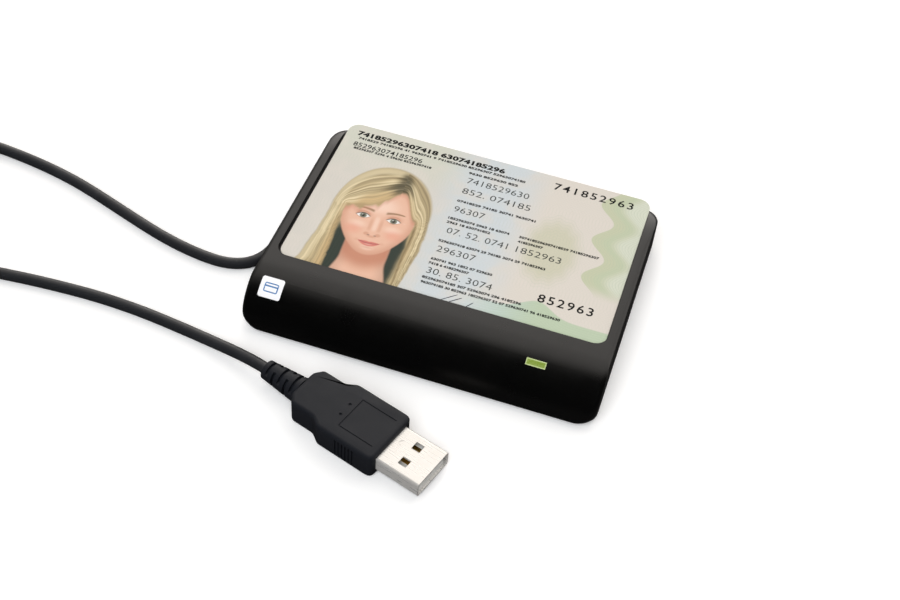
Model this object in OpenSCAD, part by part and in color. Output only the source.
// Contactless card reader with a fixed USB lead and a card lying in its tray
// Millimetres, +Z up, the front edge faces -Y, the origin lies on the table below the housing's middle

/* [Housing] */
// Width of a side rim beside the tray
rim_w = 2.8; // [2.2:0.1:11.7]
// Height of the rims over the table
body_h = 12.3; // [11.5:0.1:18]
// Depth of the front band, from the tray to the front edge
front_band = 17.05; // [15.5:0.05:26]
// Wall of the top cover
wall = 1.6; // [1.2:0.1:2]
// Radius at which the front band rolls down
roll_r = 13.8; // [12.5:0.1:15]
// Rounding along the top of the sides
edge_r = 1.3; // [0.6:0.1:1.6]
// Front corners seen from above, at the lower edge
front_corner_r = 5.5; // [4:0.1:8]
// Rear corners seen from above
rear_corner_r = 4.5; // [3:0.1:6]
// Length over which the rims roll down at the rear
rear_run = 12; // [8:0.5:16]
// Drop of the rims at the rear edge
rear_drop = 3; // [2:0.1:4]
// Height of the top cover's lower edge over the table
cover_lift = 1.5; // [1.3:0.1:1.8]

/* [Card and tray] */
// Long side of the card
card_w = 85.6; // [84:0.1:86.4]
// Short side of the card
card_d = 53.98; // [50:0.01:58]
// Thickness of the card
card_t = 0.76; // [0.6:0.01:1]
// Corners of the card
card_r = 3.18; // [2.5:0.01:3.5]
// Play between the card and each side of the tray when it lies in the middle
tray_side_gap = 0.45; // [0.3:0.01:0.7]
// Play between the card and the front of the tray
tray_front_gap = 0.1; // [0.1:0.05:0.5]
// How far the card has slid to the right
card_shift = 0.22; // [0:0.01:0.4]
// Overhang of the card at the rear
card_over = 1.2; // [0.5:0.1:2.5]
// Depth of the tray below the rims
tray_depth = 1.46; // [1.2:0.01:1.8]
// Thickness of the tray's floor
tray_floor = 1.4; // [1:0.1:1.8]

/* [Base cover and feet] */
// Thickness of the base cover
base_t = 1.5; // [1.3:0.1:1.9]
// Height of the base cover's underside over the table
base_low = 0.8; // [0.5:0.1:1]
// How far the base cover's edge stays inside the top cover's
base_inset = 0.7; // [0.4:0.1:1]
// Bevel round the underside
base_bevel = 0.4; // [0.2:0.1:0.5]
// Play between the base cover and the top cover's wall
base_fit = 0.1; // [0.05:0.05:0.2]
// Radius of a rubber foot
foot_r = 4; // [3:0.1:4.5]
// Thickness of a rubber foot
foot_t = 1.2; // [1.1:0.1:1.6]
// Radius of a case screw's shank
screw_r = 1; // [0.8:0.05:1.2]
// Radius of a case screw's head
screw_head_r = 1.9; // [1.6:0.05:2.2]
// Length of a case screw's shank
screw_len = 5.2; // [4:0.1:5.5]
// Width of the bare label bed in the underside
label_w = 46; // [20:1:60]
// Depth of the label bed from front to rear
label_d = 22; // [10:1:36]
// Radius of the pillars that take the screws
pillar_r = 2.4; // [2.2:0.1:2.6]

/* [Light window and badge] */
// Width of the light window
window_w = 5; // [3:0.1:8]
// Depth of the light window along the roll
window_d = 1.8; // [1.5:0.1:2.6]
// Distance of the light window's middle from the housing's right side
window_side = 17.3; // [14.6:0.1:31.7]
// Place of the light window on the roll, as an angle from the flat band
window_angle = 27.4; // [24:0.1:34]
// Width of the badge
badge_w = 5.9; // [4:0.1:8]
// Depth of the badge along the roll
badge_d = 5.4; // [3:0.1:6]
// Distance of the badge's middle from the housing's left side
badge_side = 6.2; // [6:0.1:26]
// Place of the badge on the roll, as an angle from the flat band
badge_angle = 28.8; // [26:0.1:36]

/* [Circuit board] */
// Play between the circuit board and the screw pillars beside it
board_play = 0.35; // [0.2:0.05:2]
// Distance of the circuit board's rear edge from the housing's
board_rear = 7; // [6:0.1:14]
// Thickness of the circuit board
board_t = 1.6; // [1:0.1:1.6]
// Turns of the aerial
aerial_turns = 4; // [2:1:6]
// Width of the aerial's copper track
track_w = 0.8; // [0.5:0.1:1]

/* [Lead] */
// Diameter of the lead
cord_d = 3; // [2.6:0.1:3]
// Distance of the lead's exit from the housing's left side
lead_side = 24; // [24:0.5:30]
// Length of the strain relief outside the housing
relief_len = 1.4; // [1.2:0.1:5]
// Radius of the coil at its outermost turn
coil_r = 22.2; // [20:0.1:24]
// Whole turns in each layer of the coil
layer_turns = 3; // [2:1:3]
// Gap between the coil's turns
turn_gap = 0.45; // [0.45:0.05:0.6]
// Thickness of the coil's tie
tie_t = 0.5; // [0.4:0.1:0.8]
// Width of the coil's tie
tie_w = 3; // [2:0.5:5]

/* [USB plug] */
// Width of the plug's grip
grip_w = 16; // [14:0.1:17]
// Height of the plug's grip
grip_h = 7.6; // [7:0.1:8.4]
// Length of the plug's grip at its full width
grip_len = 16; // [14:0.5:20]
// Width of the grip's neck
neck_w = 12.6; // [10:0.1:13.5]
// Length of the grip's neck
neck_len = 6.4; // [5:0.1:9]
// Length of the plug's strain relief
boot_len = 11; // [9:0.5:14]
// Width of the plug's metal shell
shell_w = 12; // [11.9:0.05:12.1]
// Height of the plug's metal shell
shell_h = 4.5; // [4.4:0.05:4.6]
// Length of the metal shell that shows
shell_len = 12; // [11:0.25:13]
// Sheet of the metal shell
shell_t = 0.32; // [0.25:0.01:0.4]

/* [Hidden] */
$fn = 48;

// One overrun for every cut
cut = 1;
// Steps in each rounded corner of the lofted housing, and levels down its roll
corner_steps = 10;
roll_steps = 20;

// Main places, from the front edge backwards
tray_w = card_w + 2 * tray_side_gap;
body_w = tray_w + 2 * rim_w;
total_d = front_band + tray_front_gap + card_d;
front_y = -total_d / 2;
rear_y = total_d / 2 - card_over;
tray_y = front_y + front_band;
tray_z = body_h - tray_depth;
roll_z = body_h - roll_r;
roll_end_angle = acos((cover_lift - roll_z) / roll_r);
roll_y = front_y + roll_r * sin(roll_end_angle);
base_top = base_low + base_t;
ceiling_z = tray_z - tray_floor;
inner_edge_r = 0.4;
inner_corner_r = 0.4;
// Front corners at the flat top, and how late on the way down they grow
upper_corner_r = 1.2;
corner_power = 9;
tray_corner_r = card_r + tray_front_gap;
tray_corner_n = 32;
card_x = card_shift;
card_y = total_d / 2 - card_d / 2;

// Feet, measured in from the sides, the front and the rear
foot_side = 9.65;
foot_front = 8;
foot_rear = 6.3;
foot_edge = 0.3;
foot_x = body_w / 2 - foot_side;
label_sink = 0.2;
label_corner_r = 1.5;
label_corner_n = 24;

// Screw pillars, measured in from the sides, the front and the rear
pillar_side = 4.85;
pillar_front = 17.4;
pillar_rear = 14.2;
pillar_x = body_w / 2 - pillar_side;
pillar_ys = [front_y + pillar_front, rear_y - pillar_rear];
screw_head_t = 0.8;
screw_head_sink = 0.1;
screw_hole_gap = 0.1;
pilot_gap = 0.05;
pilot_extra = 0.3;
screw_low = base_low + screw_head_sink;
screw_seat = screw_low + screw_head_t;
screw_top = screw_seat + screw_len;
cross_w = 0.5;
cross_depth = 0.4;

// Light window and badge, measured in from the sides
window_x = body_w / 2 - window_side;
badge_x = badge_side - body_w / 2;

// Board place: its front edge follows the inside of the roll
board_w = 2 * (pillar_x - pillar_r - board_play);
board_gap = 1.2;
board_clear = 0.4;
board_top = ceiling_z - board_gap;
board_low = board_top - board_t;
board_y = roll_y - sqrt(pow(roll_r - wall, 2) - pow(board_top - roll_z, 2)) + board_clear;
board_d = rear_y - board_rear - board_y;
post_r = 1.8;
stub_r = 1.4;
stub_gap = 0.05;
post_side = 18.1;
post_front = 21;
post_rear = 13;
post_x = body_w / 2 - post_side;
post_ys = [board_y + post_front, board_y + board_d - post_rear];
track_t = 0.1;
track_pitch = 1.5;
aerial_edge = 2;
aerial_d = 44;

// Parts on the board
radio_size = [5, 5, 0.9];
controller_size = [7, 7, 1.2];
crystal_size = [5, 3.2, 1.1];
capacitor_size = [1.6, 0.8, 0.8];
capacitor_count = 6;
capacitor_pitch = 2.6;
led_size = [1.6, 0.8, 0.6];
header_gap = 1.44;
header_size = [7.5, 4, board_low - base_top - header_gap];
wire_plug_size = [6.6, 4.6, 2.5];
wire_r = 0.4;
wire_pitch = 1.25;
wire_bundle = 0.55;
wire_count = 4;
wire_len = 4.2;
wire_end_gap = 0.15;
radio_share = [0.3, 0.5];
controller_share = [-0.1, 0.55];
crystal_share = [-0.1, 0.3];
capacitor_share = [0.3, 0.25];

// Light pipe and badge
window_y = roll_y - roll_r * sin(window_angle);
pipe_gap = 0.03;
pipe_flange = 0.6;
pipe_t = 1;
pipe_air = 0.2;
led_back = 3.4;
led_y = window_y + led_back;
pipe_low = board_top + led_size[2] + pipe_air;
badge_t = 0.5;
badge_gap = 0.04;
badge_corner_r = 0.6;
badge_corner_n = 24;

// Grommet
grommet_neck_r = 2.2;
grommet_neck_gap = 0.05;
grommet_seat_gap = 0.05;
grommet_flange_r = 2.75;
grommet_lift = 0.05;
grommet_flange_t = 1.2;
relief_root_r = 2.7;
relief_tip_r = 1.85;
relief_lip = 0.4;
jacket_len = 9;
jacket_tie_r = 2.2;
jacket_tie_w = 1.5;
jacket_tie_back = 0.5;
lead_x = lead_side - body_w / 2;
lead_z = base_top + grommet_flange_r + grommet_lift;
inner_y = rear_y - wall - grommet_flange_t - grommet_seat_gap;
jacket_y = inner_y - jacket_len;
wire_plug_y = jacket_y - wire_len;

// Coil on the table, left of the camera's view
coil_x = -152;
coil_y = -22.5;
coil_steps = 24;
coil_sides = 6;
tie_gap = 0.15;
tie_corner_r = 0.8;
turn_pitch = cord_d + turn_gap;
coil_low_z = tie_t + cord_d / 2;
coil_high_z = coil_low_z + turn_pitch;
reverse_turn = 0.5;
coil_total = 2 * layer_turns + reverse_turn;
coil_count = coil_total * coil_steps;
// Turns at the tie, counted in from the outermost and the innermost one
tie_outer_turn = 0.75;
tie_inner_turn = 0.25;

// Plug on the table: its axis passes through this point at this angle
plug_x = -9.2;
plug_y = -55.5;
plug_turn = -17.5;
boot_tip_d = 5;
boot_root_d = 7;
boot_slots = 5;
boot_slot_w = 0.8;
boot_slot_depth = 0.9;
boot_bridge_w = 2.2;
boot_tip_flat = 1.2;
tail_w = 8;
tail_slant = 1.8;
shoulder_len = 2.6;
grip_front_r = 1.8;
grip_outline_r = 0.7;
grip_edge_r = 1;
grip_edge_steps = 4;
groove_count = 6;
groove_pitch = 1;
groove_w = 0.5;
groove_depth = 0.35;
groove_from_front = 5.2;
dot_r = 0.4;
dot_depth = 0.35;
dot_spread = 3.6;
dot_back = 1.2;
dot_sides = 24;
frame_w = 9.6;
frame_len = 10;
frame_line = 0.3;
frame_depth = 0.2;
frame_front = 2.2;
shell_seat = 4;
shell_fit = 0.04;
shell_corner_r = 0.7;
shell_window = 2.3;
shell_window_gap = 5.2;
shell_window_from_front = 5.2;
press_mark_r = 0.85;
press_mark_line = 0.25;
press_mark_depth = 0.12;
press_mark_from_front = 9.9;
press_mark_side = 1.3;
press_mark_sides = 24;
tongue_t = 1.84;
tongue_side_gap = 0.05;
tongue_back = 1.6;
tongue_recess = 0.6;
contact_w = 1;
contact_t = 0.15;
contact_pitch = 2.5;
contact_inner_pitch = 2;
contact_len = 7.4;
contact_short = 1;
contact_recess = 1.2;
tongue_w = shell_w - 2 * shell_t - 2 * shell_corner_r;
tongue_z = -shell_h / 2 + shell_t;
grip_total = tail_slant + neck_len + shoulder_len + grip_len;
grip_corners = [[0, -tail_w / 2], [tail_slant, -neck_w / 2], [tail_slant + neck_len, -neck_w / 2],
    [tail_slant + neck_len + shoulder_len, -grip_w / 2], [grip_total, -grip_w / 2],
    [grip_total, grip_w / 2], [tail_slant + neck_len + shoulder_len, grip_w / 2],
    [tail_slant + neck_len, neck_w / 2], [tail_slant, neck_w / 2], [0, tail_w / 2]];
grip_radii = [for (p = grip_corners) p[0] == grip_total ? grip_front_r : grip_outline_r];
grip_outline = rounded_outline(grip_corners, grip_radii, grip_edge_steps);
plug_total = boot_len + grip_total + shell_len;
plug_mid_z = grip_h / 2;
plug_dir = [cos(plug_turn), sin(plug_turn), 0];
plug_tail = [plug_x, plug_y, plug_mid_z] - plug_dir * plug_total / 2;

// Centre line of the cord from the housing to the coil, its stretches set from the strain relief's tip,
// from the housing's rear left corner, and by shares of the way to the coil
cord_sides = 8;
relief_tip = rear_y + relief_len;
lead_lip = [[0, 0, lead_z], [0, relief_lip, lead_z]];
exit_bend = [[-0.2, 2.21, 4.8], [-1.3, 4.31, 3.9], [-3.4, 5.81, 2.9], [-6.2, 6.41, 2.2], [-10, 6.31, 1.7]];
corner_bend = [[10.65, 5.71, 1.5], [6.65, 4.01, 1.5], [2.85, 1.21, 1.5]];
side_run = [[-0.05, 0.61, 1.5], [-1.75, -3.79, 1.5], [-1.95, -9.19, 1.5], [-1.95, -16.19, 1.5],
    [-1.95, -23.19, 1.5], [-1.95, -30.19, 1.5], [-1.95, -37.19, 1.5], [-2.15, -42.19, 1.5],
    [-3.35, -46.39, 1.5], [-6.15, -49.79, 1.5], [-10.15, -51.59, 1.5], [-15.35, -51.99, 1.5]];
coil_way = [[0.1, 0.06, 0], [0.2, 0.17, 0], [0.3, 0.32, 0], [0.4, 0.48, 0], [0.5, 0.64, 0], [0.6, 0.78, 0],
    [0.7, 0.88, 0], [0.8, 0.95, 0.2], [0.9, 0.99, 0.6], [1, 1, 1]];
way_start = [-body_w / 2, rear_y, 0] + side_run[len(side_run) - 1];
way_end = [coil_x + 3.7 * cord_d, coil_y + coil_r, coil_low_z];
function moved(points, x, y) = [for (p = points) p + [x, y, 0]];
reader_route = concat(
    moved(lead_lip, lead_x, relief_tip), moved(exit_bend, lead_x, relief_tip),
    moved(corner_bend, -body_w / 2, relief_tip), moved(side_run, -body_w / 2, rear_y),
    [for (p = coil_way) [for (k = [0 : 2]) way_start[k] + p[k] * (way_end[k] - way_start[k])]],
    [[coil_x + 2 * cord_d, coil_y + coil_r, coil_low_z], [coil_x + cord_d, coil_y + coil_r, coil_low_z]]);
// Centre line of the cord from the coil to the plug
plug_route = concat(
    [[coil_x + cord_d, coil_y - coil_r, coil_high_z], [coil_x + 2 * cord_d, coil_y - coil_r, coil_high_z]],
    [[-141, -44.6, 4.8], [-136, -44.3, 3.6], [-130, -43.8, 2.3], [-124, -43.2, 1.6], [-116, -42.3, 1.5],
    [-108, -41.4, 1.5], [-100, -40.6, 1.5], [-92, -40.1, 1.5], [-84, -39.8, 1.5], [-76, -40, 1.5],
    [-68, -40.6, 1.5], [-60, -41.6, 1.5], [-53, -42.7, 1.7], [-47, -44, 2.3], [-41, -45.5, 3.1]],
    [plug_tail - plug_dir * cord_d, plug_tail]);

function unit(v) = v / norm(v);
function part_of(value, low, high) = min(max((value - low) / (high - low), 0), 1);

// Corner points of a rounded rectangle, counter-clockwise, with its own radii at the front and the rear
function corner_arc(centre, r, start) =
    [for (i = [0 : corner_steps]) centre + r * [cos(start + 90 * i / corner_steps),
        sin(start + 90 * i / corner_steps)]];
function plan_points(half_w, y0, y1, front_r, rear_r) = concat(
    corner_arc([-half_w + front_r, y0 + front_r], front_r, 180),
    corner_arc([half_w - front_r, y0 + front_r], front_r, 270),
    corner_arc([half_w - rear_r, y1 - rear_r], rear_r, 0),
    corner_arc([-half_w + rear_r, y1 - rear_r], rear_r, 90));
function lift(points, z) = [for (p = points) [p[0], p[1], z]];

// Skin over a list of rings that all have the same number of points
module skin(rings) {
    n = len(rings[0]);
    last = len(rings) - 1;
    sides = [for (i = [0 : last - 1], k = [0 : n - 1])
        let (a = i * n + k, b = i * n + (k + 1) % n) each [[a, a + n, b + n], [a, b + n, b]]];
    bottom = [for (k = [0 : n - 1]) k];
    top = [for (k = [n - 1 : -1 : 0]) last * n + k];
    polyhedron(points = [for (r = rings) each r], faces = concat(sides, [bottom, top]), convexity = 8);
}

// Ring of a tube at point i of its centre line, square to the line there
function tube_ring(line, i, r, sides) =
    let (ahead = unit(line[min(i + 1, len(line) - 1)] - line[max(i - 1, 0)]),
        left = unit(cross([0, 0, 1], ahead)),
        up = cross(ahead, left))
    [for (k = [0 : sides - 1]) line[i]
        + r * (cos(360 * (k + 0.5) / sides) * left + sin(360 * (k + 0.5) / sides) * up)];
module tube(line, r, sides) {
    skin([for (i = [0 : len(line) - 1]) tube_ring(line, i, r, sides)]);
}

// Level of the housing, inset by t, at an angle down its front roll
function housing_ring(t, angle) =
    let (r = roll_r - t,
        z = roll_z + r * cos(angle),
        depth = body_h - t - z,
        er = max(edge_r - t, inner_edge_r),
        rear = rear_y - t - rear_run + rear_run * sqrt(1 - pow(1 - min(depth / rear_drop, 1), 2)),
        half = body_w / 2 - t - er + sqrt(pow(er, 2) - pow(er - min(depth, er), 2)),
        growth = pow(angle / roll_end_angle, corner_power),
        front_r = upper_corner_r + (front_corner_r - upper_corner_r) * growth)
    lift(plan_points(half, roll_y - r * sin(angle), rear,
        max(front_r - t, inner_corner_r), rear_corner_r - t), z);
// Solid form of the housing, inset by t, from a low level up to its flat top
module housing_form(t, low_z) {
    end_angle = acos((low_z - roll_z) / (roll_r - t));
    skin([for (i = [roll_steps : -1 : 0]) housing_ring(t, end_angle * i / roll_steps)]);
}

// Rectangle w by d about the middle with true round corners
module round_rect(w, d, r, n) {
    for (sx = [-1, 1], sy = [-1, 1]) translate([sx * (w / 2 - r), sy * (d / 2 - r)]) circle(r = r, $fn = n);
    square([w, d - 2 * r], center = true);
    square([w - 2 * r, d], center = true);
}

// Card-shaped hollow, open towards the rear
module tray_cut() {
    y_mid = (tray_y + rear_y + cut) / 2 + tray_corner_r / 2;
    translate([0, y_mid, tray_z]) linear_extrude(tray_depth + cut)
        round_rect(tray_w, rear_y + cut - tray_y + tray_corner_r, tray_corner_r, tray_corner_n);
}

// Places children on the front roll, with +Z square out of its surface
module on_roll(x, angle) {
    translate([x, roll_y, roll_z]) rotate([angle, 0, 0]) translate([0, 0, roll_r]) children();
}

module window_cut(gap) {
    on_roll(window_x, window_angle)
        cube([window_w + 2 * gap, window_d + 2 * gap, 2 * (wall + cut)], center = true);
}

module badge_cut(gap) {
    on_roll(badge_x, badge_angle) translate([0, 0, -badge_t - gap / 2]) linear_extrude(badge_t + cut)
        round_rect(badge_w + 2 * gap, badge_d + 2 * gap, badge_corner_r + gap, badge_corner_n);
}

module top_cover() {
    color([0.08, 0.08, 0.085]) difference() {
        union() {
            difference() {
                housing_form(0, cover_lift);
                difference() {
                    housing_form(wall, cover_lift - cut);
                    translate([-body_w / 2, tray_y - wall, ceiling_z])
                        cube([body_w, total_d, body_h]);
                }
            }
            for (x = [-pillar_x, pillar_x], y = pillar_ys) translate([x, y, base_top])
                cylinder(r = pillar_r, h = tray_z - tray_floor / 2 - base_top);
            for (x = [-post_x, post_x], y = post_ys) translate([x, y, board_top + stub_gap])
                cylinder(r = stub_r, h = tray_z - tray_floor / 2 - board_top - stub_gap);
        }
        tray_cut();
        window_cut(pipe_gap);
        badge_cut(badge_gap);
        for (x = [-pillar_x, pillar_x], y = pillar_ys) translate([x, y, base_top - cut])
            cylinder(r = screw_r + pilot_gap, h = cut + screw_top - base_top + pilot_extra);
        translate([lead_x, rear_y + cut, lead_z]) rotate([90, 0, 0])
            cylinder(r = grommet_neck_r + grommet_neck_gap, h = wall + 2 * cut);
    }
}

// Outline of the step that fits inside the top cover's wall
step_inset = wall + base_fit;
step_front = roll_y - (roll_r - step_inset) * sin(acos((base_top - roll_z) / (roll_r - step_inset)));
step_ring = plan_points(body_w / 2 - step_inset, step_front, rear_y - step_inset,
    front_corner_r - step_inset, rear_corner_r - step_inset);
function base_level(t, z) = lift(plan_points(body_w / 2 - t, front_y + t, rear_y - t,
    front_corner_r - t, rear_corner_r - t), z);
module base_cover() {
    color([0.1, 0.1, 0.105]) difference() {
        union() {
            skin([base_level(base_inset + base_bevel, base_low),
                base_level(base_inset, base_low + base_bevel), base_level(base_inset, cover_lift)]);
            translate([0, 0, cover_lift]) linear_extrude(base_top - cover_lift) polygon(step_ring);
            for (x = [-post_x, post_x], y = post_ys) translate([x, y, cover_lift])
                cylinder(r = post_r, h = board_low - cover_lift);
        }
        for (x = [-foot_x, foot_x], y = [front_y + foot_front, rear_y - foot_rear])
            translate([x, y, base_low - cut]) cylinder(r = foot_r, h = cut + foot_t - base_low);
        for (x = [-pillar_x, pillar_x], y = pillar_ys) {
            translate([x, y, base_low - cut]) cylinder(r = screw_r + screw_hole_gap, h = base_t + 2 * cut);
            translate([x, y, base_low - cut])
                cylinder(r = screw_head_r + screw_hole_gap, h = cut + screw_seat - base_low);
        }
        translate([0, 0, base_low - cut]) linear_extrude(cut + label_sink)
            round_rect(label_w, label_d, label_corner_r, label_corner_n);
    }
}

module rubber_feet() {
    color([0.16, 0.16, 0.16])
    for (x = [-foot_x, foot_x], y = [front_y + foot_front, rear_y - foot_rear]) translate([x, y, 0])
        rotate_extrude() polygon([[0, 0], [foot_r - foot_edge, 0], [foot_r, foot_edge], [foot_r, foot_t],
            [0, foot_t]]);
}

module case_screws() {
    color([0.55, 0.55, 0.57])
    for (x = [-pillar_x, pillar_x], y = pillar_ys) translate([x, y, screw_low]) difference() {
        union() {
            cylinder(r = screw_head_r, h = screw_head_t);
            cylinder(r = screw_r, h = screw_head_t + screw_len);
        }
        for (a = [0, 90]) rotate(a) translate([-screw_head_r / 2, -cross_w / 2, -cut])
            cube([screw_head_r, cross_w, cut + cross_depth]);
    }
}

// Window in the roll with an arm behind the wall that ends over the LED
module light_pipe() {
    arm_w = window_w + 2 * pipe_flange;
    arm_front = window_y - window_d / 2;
    color([0.62, 0.8, 0.2]) difference() {
        union() {
            intersection() {
                housing_form(0, cover_lift);
                on_roll(window_x, window_angle) translate([-window_w / 2, -window_d / 2, -wall - pipe_t])
                    cube([window_w, window_d, wall + pipe_t + cut]);
            }
            intersection() {
                housing_form(wall + pipe_gap, cover_lift);
                translate([window_x - arm_w / 2, arm_front, pipe_low])
                    cube([arm_w, led_y + led_size[1] - arm_front, pipe_t]);
            }
        }
        translate([window_x - arm_w, arm_front - window_d, cover_lift])
            cube([2 * arm_w, 2 * window_d + led_y - arm_front, pipe_low - cover_lift]);
    }
}

module badge_plate() {
    color([0.92, 0.92, 0.93]) intersection() {
        housing_form(0, cover_lift);
        badge_cut(0);
    }
}

module circuit_board() {
    color([0.05, 0.32, 0.16]) translate([-board_w / 2, board_y, board_low]) cube([board_w, board_d, board_t]);
}

// Corner k of a square spiral that draws in by one pitch at each full turn
function spiral_corner(k, w, d, pitch, side) =
    let (turn = k / 4,
        hx = w / 2 - pitch * floor((k + 1) / 4) + side,
        hy = d / 2 - pitch * floor(turn) + side)
    [k % 4 == 0 || k % 4 == 3 ? -hx : hx, k % 4 < 2 ? -hy : hy];
module aerial_track() {
    w = board_w - 2 * aerial_edge;
    corners = 4 * aerial_turns;
    outer = [for (k = [0 : corners]) spiral_corner(k, w, aerial_d, track_pitch, 0)];
    inner = [for (k = [corners : -1 : 0]) spiral_corner(k, w, aerial_d, track_pitch, -track_w)];
    color([0.8, 0.5, 0.25])
    translate([0, board_y + board_d - aerial_edge - aerial_d / 2, board_top]) linear_extrude(track_t)
        polygon(concat(outer, inner));
}

// Places children under the board at a share of its width and depth
module under_board(share) {
    translate([share[0] * board_w, board_y + share[1] * board_d, board_low]) children();
}
module hung_block(size) {
    translate([-size[0] / 2, -size[1] / 2, -size[2]]) cube(size);
}

module radio_chip() {
    color([0.12, 0.12, 0.13]) under_board(radio_share) hung_block(radio_size);
}
module controller_chip() {
    color([0.1, 0.1, 0.11]) under_board(controller_share) hung_block(controller_size);
}
module crystal_can() {
    color([0.75, 0.75, 0.76]) under_board(crystal_share) hung_block(crystal_size);
}
module small_capacitors() {
    color([0.7, 0.58, 0.42]) under_board(capacitor_share)
        for (i = [0 : capacitor_count - 1]) translate([i * capacitor_pitch - capacitor_pitch, 0, 0])
            hung_block(capacitor_size);
}
module status_led() {
    color([0.85, 0.9, 0.6]) translate([window_x - led_size[0] / 2, led_y - led_size[1] / 2, board_top])
        cube(led_size);
}

// The lead inside the housing runs from the grommet forwards to the board
module board_header() {
    color([0.9, 0.88, 0.8])
    translate([lead_x, wire_plug_y - wire_plug_size[1] - header_size[1] / 2, board_low])
        hung_block(header_size);
}
module wire_plug() {
    color([0.93, 0.92, 0.88])
    translate([lead_x - wire_plug_size[0] / 2, wire_plug_y - wire_plug_size[1], lead_z - wire_plug_size[2] / 2])
        cube(wire_plug_size);
}
module rod(from, to, r) {
    v = to - from;
    translate(from) rotate([0, acos(v[2] / norm(v)), atan2(v[1], v[0])]) cylinder(r = r, h = norm(v));
}
module lead_wires() {
    tints = [[0.75, 0.1, 0.1], [0.9, 0.9, 0.9], [0.1, 0.5, 0.2], [0.1, 0.1, 0.1]];
    for (i = [0 : wire_count - 1]) color(tints[i])
        rod([lead_x + (i < wire_count / 2 ? -1 : 1) * wire_bundle, jacket_y - wire_end_gap,
            lead_z + (i % 2 == 0 ? -1 : 1) * wire_bundle],
            [lead_x + (i - (wire_count - 1) / 2) * wire_pitch, wire_plug_y + wire_end_gap, lead_z], wire_r);
}
module inner_jacket() {
    color([0.13, 0.13, 0.14]) translate([lead_x, inner_y, lead_z]) rotate([90, 0, 0])
        cylinder(r = cord_d / 2, h = jacket_len);
}
module jacket_tie() {
    color([0.85, 0.85, 0.83]) translate([lead_x, inner_y - jacket_tie_back, lead_z]) rotate([90, 0, 0])
        difference() {
            cylinder(r = jacket_tie_r, h = jacket_tie_w);
            translate([0, 0, -cut]) cylinder(r = cord_d / 2, h = jacket_tie_w + 2 * cut);
        }
}
module lead_grommet() {
    root = grommet_flange_t + wall + 2 * grommet_seat_gap;
    tip = rear_y + relief_len - inner_y;
    color([0.11, 0.11, 0.12]) translate([lead_x, inner_y, lead_z]) rotate([-90, 0, 0]) rotate_extrude()
        polygon([[0, 0], [grommet_flange_r, 0], [grommet_flange_r, grommet_flange_t],
            [grommet_neck_r, grommet_flange_t], [grommet_neck_r, root], [relief_root_r, root],
            [relief_root_r, root + relief_lip], [relief_tip_r, tip], [0, tip]]);
}

module reader_cord() {
    color([0.14, 0.14, 0.15]) tube(reader_route, cord_d / 2, cord_sides);
}
module plug_cord() {
    color([0.14, 0.14, 0.15]) tube(plug_route, cord_d / 2, cord_sides);
}

// Wound centre line: in over the lower layer, up in the half turn where it reverses, out over the upper one
function coil_point(u) =
    let (r = coil_r - turn_pitch * min(u, coil_total - u),
        a = 90 + 360 * u)
    [coil_x + r * cos(a), coil_y + r * sin(a),
        coil_low_z + turn_pitch * part_of(u, layer_turns, layer_turns + reverse_turn)];
coil_turns_line = [for (i = [0 : coil_count]) coil_point(i / coil_steps)];
coil_line = concat([coil_turns_line[0] + [cord_d, 0, 0]], coil_turns_line,
    [coil_turns_line[coil_count] + [cord_d, 0, 0]]);
coil_gap = min([for (i = [0 : coil_count - coil_steps / 2])
    min([for (j = [i + coil_steps / 2 : coil_count]) norm(coil_turns_line[i] - coil_turns_line[j])])]) - cord_d;
module cord_coil() {
    echo(coil_least_gap = coil_gap);
    color([0.14, 0.14, 0.15]) tube(coil_line, cord_d / 2, coil_sides);
}

// Band round both layers where the turns lie above each other
module coil_tie() {
    r_out = coil_r - turn_pitch * tie_outer_turn + cord_d / 2 + tie_gap;
    r_in = coil_r - turn_pitch * (layer_turns - tie_inner_turn) - cord_d / 2 - tie_gap;
    z_out = coil_high_z + cord_d / 2 + tie_gap;
    w = r_out - r_in;
    h = z_out - tie_t;
    color([0.1, 0.1, 0.1]) translate([coil_x + (r_out + r_in) / 2, coil_y + tie_w / 2, tie_t + h / 2])
        rotate([90, 0, 0]) linear_extrude(tie_w) difference() {
            round_rect(w + 2 * tie_t, h + 2 * tie_t, tie_corner_r + tie_t, $fn);
            round_rect(w, h, tie_corner_r, $fn);
        }
}

// Places children on the plug's axis, with +X towards its shell and x = 0 at the tail of its boot
module on_plug() {
    translate(plug_tail) rotate(plug_turn) children();
}

// Tapered boot with slots that leave bridges at the sides and at the top and bottom in turn
module plug_boot() {
    slot_pitch = (boot_len - boot_tip_flat) / boot_slots;
    color([0.2, 0.205, 0.22]) on_plug() rotate([0, 90, 0]) difference() {
        cylinder(r1 = boot_tip_d / 2, r2 = boot_root_d / 2, h = boot_len);
        for (i = [0 : boot_slots - 1]) translate([0, 0, boot_tip_flat + i * slot_pitch]) difference() {
            cylinder(r = boot_root_d, h = boot_slot_w);
            translate([0, 0, -cut]) cylinder(r = boot_tip_d / 2 + (boot_root_d - boot_tip_d) / 2
                * (boot_tip_flat + i * slot_pitch) / boot_len - boot_slot_depth, h = boot_slot_w + 2 * cut);
            rotate(90 * (i % 2)) translate([-boot_bridge_w / 2, -boot_root_d, -cut])
                cube([boot_bridge_w, 2 * boot_root_d, boot_slot_w + 2 * cut]);
        }
    }
}

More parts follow.
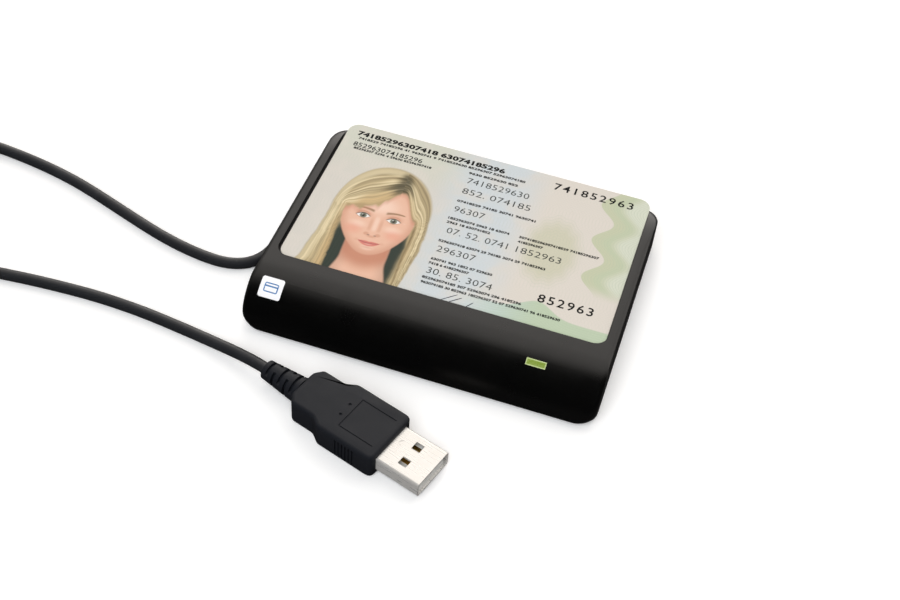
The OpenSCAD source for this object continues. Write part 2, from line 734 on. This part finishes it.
// Point list of a closed outline whose corners are rounded, each by its own radius
function rounded_corner(before, p, after, r, steps) =
    let (a = p + unit(before - p) * r,
        b = p + unit(after - p) * r)
    [for (i = [0 : steps]) let (s = i / steps) pow(1 - s, 2) * a + 2 * s * (1 - s) * p + pow(s, 2) * b];
function rounded_outline(corners, radii, steps) =
    let (n = len(corners))
    [for (i = [0 : n - 1])
        each rounded_corner(corners[(i + n - 1) % n], corners[i], corners[(i + 1) % n], radii[i], steps)];
// The same outline drawn in by t
function drawn_in(points, t) =
    let (n = len(points))
    [for (i = [0 : n - 1])
        let (v = unit(points[(i + 1) % n] - points[(i + n - 1) % n])) points[i] + t * [-v[1], v[0]]];

module plug_grip() {
    e = grip_edge_r;
    levels = concat(
        [for (i = [grip_edge_steps : -1 : 0]) let (a = 90 * i / grip_edge_steps)
            [-grip_h / 2 + e - e * sin(a), e - e * cos(a)]],
        [for (i = [0 : grip_edge_steps]) let (a = 90 * i / grip_edge_steps)
            [grip_h / 2 - e + e * sin(a), e - e * cos(a)]]);
    frame_x = grip_total - frame_front;
    color([0.2, 0.205, 0.22]) on_plug() translate([boot_len, 0, 0]) difference() {
        skin([for (l = levels) lift(drawn_in(grip_outline, l[1]), l[0])]);
        translate([grip_total - shell_seat, -shell_w / 2 - shell_fit, -shell_h / 2 - shell_fit])
            cube([shell_seat + cut, shell_w + 2 * shell_fit, shell_h + 2 * shell_fit]);
        for (s = [-1, 1], i = [0 : groove_count - 1])
            translate([grip_total - groove_from_front - i * groove_pitch - groove_w,
                s * (grip_w / 2 + cut - groove_depth) - cut, -grip_h / 2 + grip_edge_r])
                cube([groove_w, 2 * cut, grip_h - 2 * grip_edge_r]);
        for (s = [-1, 1]) translate([frame_x - frame_len - frame_line - dot_back, s * dot_spread / 2,
            grip_h / 2 - dot_depth]) cylinder(r = dot_r, h = dot_depth + cut, $fn = dot_sides);
        translate([frame_x - frame_len, -frame_w / 2, grip_h / 2 - frame_depth])
            cube([frame_line, frame_w, frame_depth + cut]);
        for (s = [-1, 1]) translate([frame_x - frame_len, s * (frame_w / 2 - frame_line / 2) - frame_line / 2,
            grip_h / 2 - frame_depth]) cube([frame_len, frame_line, frame_depth + cut]);
    }
}

module plug_shell() {
    full = shell_seat + shell_len;
    color([0.82, 0.82, 0.8]) on_plug() translate([boot_len + grip_total - shell_seat, 0, 0]) difference() {
        rotate([90, 0, 90]) linear_extrude(full) difference() {
            round_rect(shell_w, shell_h, shell_corner_r, $fn);
            round_rect(shell_w - 2 * shell_t, shell_h - 2 * shell_t, shell_corner_r - shell_t, $fn);
        }
        for (s = [-1, 1]) translate([full - shell_window_from_front - shell_window / 2,
            s * shell_window_gap / 2, 0]) cube([shell_window, shell_window, shell_h + cut], center = true);
        translate([full - press_mark_from_front, press_mark_side, shell_h / 2 - press_mark_depth])
            linear_extrude(press_mark_depth + cut) press_mark();
    }
}
// Half ring that the press leaves in the shell's top
module press_mark() {
    difference() {
        circle(r = press_mark_r, $fn = press_mark_sides);
        circle(r = press_mark_r - press_mark_line, $fn = press_mark_sides);
        translate([0, -press_mark_r]) square(2 * press_mark_r);
    }
}

module plug_tongue() {
    color([0.9, 0.9, 0.88]) on_plug() translate([boot_len + grip_total - shell_seat, 0, 0]) {
        translate([0, -tongue_w / 2, tongue_z])
            cube([shell_seat + shell_len - tongue_recess, tongue_w, tongue_t]);
        translate([0, -tongue_w / 2, tongue_z]) cube([tongue_back, tongue_w, shell_h - 2 * shell_t]);
    }
}

module plug_contacts() {
    color([0.85, 0.68, 0.3]) on_plug()
        translate([boot_len + grip_total + shell_len - tongue_recess - contact_recess, 0, tongue_z + tongue_t])
            for (s = [-1, 1]) {
                translate([-contact_len, s * (contact_pitch + contact_inner_pitch / 2) - contact_w / 2, 0])
                    cube([contact_len, contact_w, contact_t]);
                translate([-contact_len, s * contact_inner_pitch / 2 - contact_w / 2, 0])
                    cube([contact_len - contact_short, contact_w, contact_t]);
            }
}

module contactless_card() {
    color([0.8, 0.83, 0.78]) translate([card_x, card_y, tray_z]) linear_extrude(card_t)
        round_rect(card_w, card_d, card_r, tray_corner_n);
}

top_cover();
base_cover();
rubber_feet();
case_screws();
light_pipe();
badge_plate();
circuit_board();
aerial_track();
radio_chip();
controller_chip();
crystal_can();
small_capacitors();
status_led();
board_header();
wire_plug();
lead_wires();
inner_jacket();
jacket_tie();
lead_grommet();
reader_cord();
cord_coil();
coil_tie();
plug_cord();
plug_boot();
plug_grip();
plug_shell();
plug_tongue();
plug_contacts();
contactless_card();
